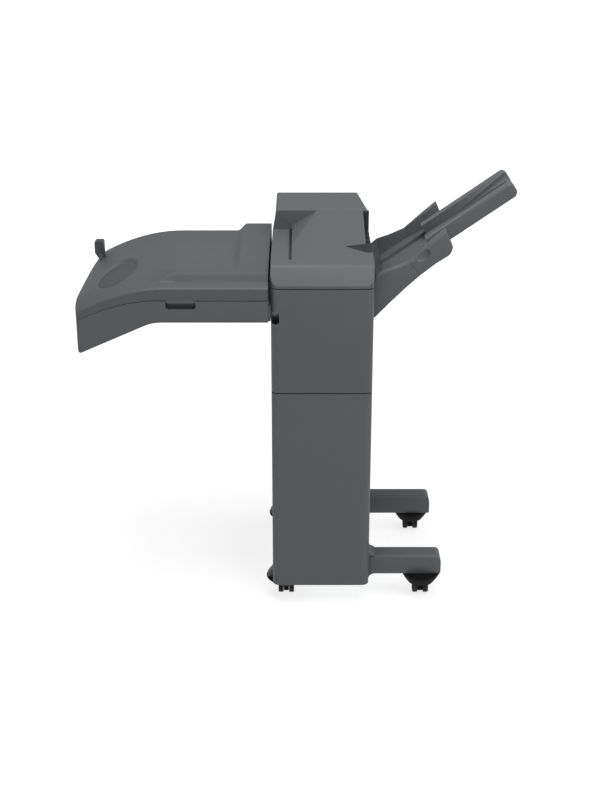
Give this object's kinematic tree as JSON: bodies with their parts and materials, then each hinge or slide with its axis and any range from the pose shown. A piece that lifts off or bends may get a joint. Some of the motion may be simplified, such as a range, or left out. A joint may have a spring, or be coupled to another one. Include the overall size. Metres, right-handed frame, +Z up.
{
  "type": "printer finisher",
  "caption": "Free-standing stapling finisher for an office printer, with a side sheet transport, hinged lid, front door, lifting output tray, pull-out extension and swivel casters.",
  "frame": {"origin": "middle of the footprint, on the floor", "axes": "+X towards the output tray, +Y from the front door to the rear cover, +Z up"},
  "size_m": [1.1704, 0.58, 1.1593],
  "materials": {
    "charcoal_moulding": "fine-grained charcoal moulding",
    "dark_moulding": "fine-grained darker moulding",
    "black_moulding": "black moulding",
    "blue_moulding": "blue moulding for pieces the user handles",
    "zinc_steel": "zinc-plated steel",
    "rubber": "black rubber",
    "circuit_green": "solder-masked board"
  },
  "bodies": {
    "cabinet": {"lower_front_cover": "charcoal_moulding", "door_pin_lower": "zinc_steel", "door_pin_upper": "zinc_steel", "left_side_cover": "charcoal_moulding", "right_side_cover": "charcoal_moulding", "rear_cover": "charcoal_moulding", "top_cover": "charcoal_moulding", "exit_guide": "black_moulding", "base_pan": "zinc_steel", "front_frame_plate": "zinc_steel", "rear_frame_plate": "zinc_steel", "lower_tie_bar": "zinc_steel", "upper_tie_bar": "zinc_steel", "drive_belt": "rubber", "drive_motor": "zinc_steel", "compile_tray": "zinc_steel", "stapler_rail": "zinc_steel", "circuit_board": "circuit_green", "lift_rod_front": "zinc_steel", "lift_rod_rear": "zinc_steel", "lift_crossbar": "zinc_steel", "lift_belt": "rubber", "lift_motor": "zinc_steel", "transport_housing": "charcoal_moulding", "lid_hinge_rod": "zinc_steel", "transport_guide": "zinc_steel", "feed_belt": "rubber", "front_leg": "charcoal_moulding", "rear_leg": "charcoal_moulding", "caster_cup_front_left": "black_moulding", "caster_cup_rear_left": "black_moulding", "caster_cup_front_right": "black_moulding", "caster_cup_rear_right": "black_moulding"},
    "door": {"front_door": "charcoal_moulding"},
    "lid": {"transport_lid": "charcoal_moulding"},
    "stop": {"paper_stop": "dark_moulding"},
    "feed_right": {"feed_roller_right": "rubber"},
    "feed_middle": {"feed_roller_middle": "rubber"},
    "feed_left": {"feed_roller_left": "rubber"},
    "entrance": {"entrance_roller": "rubber"},
    "exit": {"exit_roller": "rubber"},
    "idler": {"exit_idler": "rubber"},
    "motor_shaft": {"motor_pulley": "black_moulding"},
    "jogger_front": {"front_jogger": "black_moulding"},
    "jogger_rear": {"rear_jogger": "black_moulding"},
    "stapler_unit": {"stapler": "dark_moulding"},
    "cartridge": {"staple_cartridge": "blue_moulding"},
    "tray": {"lift_carriage": "zinc_steel", "output_tray": "dark_moulding"},
    "extension": {"tray_extension": "dark_moulding"},
    "lift_upper": {"lift_pulley_upper": "black_moulding"},
    "lift_lower": {"lift_pulley_lower": "black_moulding"},
    "fork_front_left": {"caster_fork_front_left": "black_moulding"},
    "wheels_front_left": {"caster_wheels_front_left": "rubber"},
    "fork_rear_left": {"caster_fork_rear_left": "black_moulding"},
    "wheels_rear_left": {"caster_wheels_rear_left": "rubber"},
    "fork_front_right": {"caster_fork_front_right": "black_moulding"},
    "wheels_front_right": {"caster_wheels_front_right": "rubber"},
    "fork_rear_right": {"caster_fork_rear_right": "black_moulding"},
    "wheels_rear_right": {"caster_wheels_rear_right": "rubber"}
  },
  "joints": [
    {"name": "door_hinge", "type": "hinge", "parent": "cabinet", "child": "door", "pos_m": [0.19583, -0.26, 0.78], "axis": [0, 0, 1], "range_deg": [0, 110]},
    {"name": "lid_hinge", "type": "hinge", "parent": "cabinet", "child": "lid", "pos_m": [-0.2, 0.2745, 0.897], "axis": [-1, 0, 0], "range_deg": [0, 70]},
    {"name": "stop_hinge", "type": "hinge", "parent": "lid", "child": "stop", "pos_m": [-0.56217, 0.183, 0.8843], "axis": [0, 1, 0], "range_deg": [0, 60]},
    {"name": "feed_right_spin", "type": "hinge", "parent": "cabinet", "child": "feed_right", "pos_m": [-0.13117, 0, 0.878], "axis": [0, 1, 0], "continuous": true},
    {"name": "feed_middle_spin", "type": "hinge", "parent": "cabinet", "child": "feed_middle", "pos_m": [-0.23117, 0, 0.878], "axis": [0, 1, 0], "continuous": true},
    {"name": "feed_left_spin", "type": "hinge", "parent": "cabinet", "child": "feed_left", "pos_m": [-0.33117, 0, 0.878], "axis": [0, 1, 0], "continuous": true},
    {"name": "exit_spin", "type": "hinge", "parent": "cabinet", "child": "exit", "pos_m": [0.18283, 0, 0.952], "axis": [0, 1, 0], "continuous": true},
    {"name": "entrance_spin", "type": "hinge", "parent": "cabinet", "child": "entrance", "pos_m": [-0.04117, 0, 0.89], "axis": [0, 1, 0], "continuous": true},
    {"name": "idler_spin", "type": "hinge", "parent": "cabinet", "child": "idler", "pos_m": [0.18283, 0, 0.9683], "axis": [0, 1, 0], "continuous": true},
    {"name": "motor_spin", "type": "hinge", "parent": "cabinet", "child": "motor_shaft", "pos_m": [0.09883, 0, 0.8], "axis": [0, 1, 0], "continuous": true},
    {"name": "jogger_front_slide", "type": "slide", "parent": "cabinet", "child": "jogger_front", "axis": [0, 1, 0], "range_m": [0, 0.08]},
    {"name": "jogger_rear_slide", "type": "slide", "parent": "cabinet", "child": "jogger_rear", "axis": [0, 1, 0], "range_m": [-0.08, 0]},
    {"name": "stapler_slide", "type": "slide", "parent": "cabinet", "child": "stapler_unit", "axis": [0, 1, 0], "range_m": [0, 0.3]},
    {"name": "cartridge_slide", "type": "slide", "parent": "stapler_unit", "child": "cartridge", "axis": [0, -1, 0], "range_m": [0, 0.045]},
    {"name": "tray_lift", "type": "slide", "parent": "cabinet", "child": "tray", "axis": [0, 0, 1], "range_m": [-0.4, 0]},
    {"name": "extension_slide", "type": "slide", "parent": "tray", "child": "extension", "axis": [0.8191, 0, 0.5736], "range_m": [-0.155, 0]},
    {"name": "lift_upper_spin", "type": "hinge", "parent": "cabinet", "child": "lift_upper", "pos_m": [0.17383, -0.025, 0.896], "axis": [1, 0, 0], "continuous": true},
    {"name": "lift_lower_spin", "type": "hinge", "parent": "cabinet", "child": "lift_lower", "pos_m": [0.17383, -0.025, 0.12], "axis": [1, 0, 0], "continuous": true},
    {"name": "swivel_front_left", "type": "hinge", "parent": "cabinet", "child": "fork_front_left", "pos_m": [-0.02817, -0.2225, 0.05], "axis": [0, 0, 1], "continuous": true},
    {"name": "roll_front_left", "type": "hinge", "parent": "fork_front_left", "child": "wheels_front_left", "pos_m": [-0.02817, -0.2145, 0.0235], "axis": [1, 0, 0], "continuous": true},
    {"name": "swivel_rear_left", "type": "hinge", "parent": "cabinet", "child": "fork_rear_left", "pos_m": [-0.02817, 0.1725, 0.05], "axis": [0, 0, 1], "continuous": true},
    {"name": "roll_rear_left", "type": "hinge", "parent": "fork_rear_left", "child": "wheels_rear_left", "pos_m": [-0.02817, 0.1805, 0.0235], "axis": [1, 0, 0], "continuous": true},
    {"name": "swivel_front_right", "type": "hinge", "parent": "cabinet", "child": "fork_front_right", "pos_m": [0.35383, -0.2225, 0.06], "axis": [0, 0, 1], "continuous": true},
    {"name": "roll_front_right", "type": "hinge", "parent": "fork_front_right", "child": "wheels_front_right", "pos_m": [0.35383, -0.2145, 0.0235], "axis": [1, 0, 0], "continuous": true},
    {"name": "swivel_rear_right", "type": "hinge", "parent": "cabinet", "child": "fork_rear_right", "pos_m": [0.35383, 0.1725, 0.06], "axis": [0, 0, 1], "continuous": true},
    {"name": "roll_rear_right", "type": "hinge", "parent": "fork_rear_right", "child": "wheels_rear_right", "pos_m": [0.35383, 0.1805, 0.0235], "axis": [1, 0, 0], "continuous": true}
  ],
  "couplings": [
    {"joint": "feed_middle_spin", "follows": "feed_right_spin", "ratio": 1},
    {"joint": "feed_left_spin", "follows": "feed_right_spin", "ratio": 1},
    {"joint": "entrance_spin", "follows": "exit_spin", "ratio": 1},
    {"joint": "motor_spin", "follows": "exit_spin", "ratio": 1},
    {"joint": "idler_spin", "follows": "exit_spin", "ratio": -1.6667},
    {"joint": "jogger_rear_slide", "follows": "jogger_front_slide", "ratio": -1},
    {"joint": "lift_upper_spin", "follows": "tray_lift", "rad_per_m": 90},
    {"joint": "lift_lower_spin", "follows": "tray_lift", "rad_per_m": 90}
  ]
}
